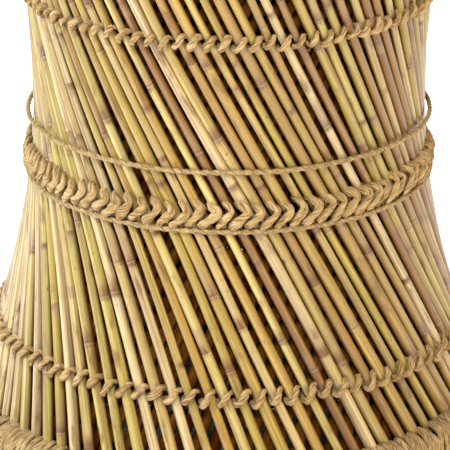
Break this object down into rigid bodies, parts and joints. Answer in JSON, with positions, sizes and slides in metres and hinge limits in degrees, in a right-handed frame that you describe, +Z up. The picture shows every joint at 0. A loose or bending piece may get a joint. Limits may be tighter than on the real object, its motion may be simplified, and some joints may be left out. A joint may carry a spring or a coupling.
{
  "type": "cane stool",
  "caption": "Round waisted stool: slanting canes in two crossed layers, bound by twined rope bands between rope-wrapped base and seat rolls.",
  "frame": {"origin": "centre of the base on the floor", "axes": "+Z up the stool's axis, -Y towards the front"},
  "size_m": [0.406, 0.406, 0.43],
  "materials": {
    "outer_cane": "smooth natural cane skin, straw to tan, satin",
    "inner_cane": "natural cane, darker, satin",
    "twining_rope": "soft twisted grass rope",
    "rope_wrap": "tight wrapping of thin grass rope",
    "tie_cord": "thin two-ply grass cord",
    "seat_rope": "woven grass rope",
    "grass_core": "bundled dry grass",
    "hoop_cane": "bent cane",
    "seat_slat": "natural cane"
  },
  "bodies": {
    "root": {"outer_canes": "outer_cane", "inner_canes": "inner_cane", "base_wrap": "rope_wrap", "base_core": "grass_core", "base_outer_hoop": "hoop_cane", "base_inner_hoop": "hoop_cane", "top_wrap": "rope_wrap", "top_core": "grass_core", "top_outer_hoop": "hoop_cane", "top_inner_hoop": "hoop_cane", "lower_twining": "twining_rope", "waist_twining": "twining_rope", "upper_twining": "twining_rope", "waist_cord_lower": "tie_cord", "waist_cord_upper": "tie_cord", "waist_knot_lower": "tie_cord", "waist_knot_upper": "tie_cord", "seat_hoop": "hoop_cane", "seat_slats_lower": "seat_slat", "seat_slats_upper": "seat_slat", "seat_weave": "seat_rope"}
  },
  "joints": []
}
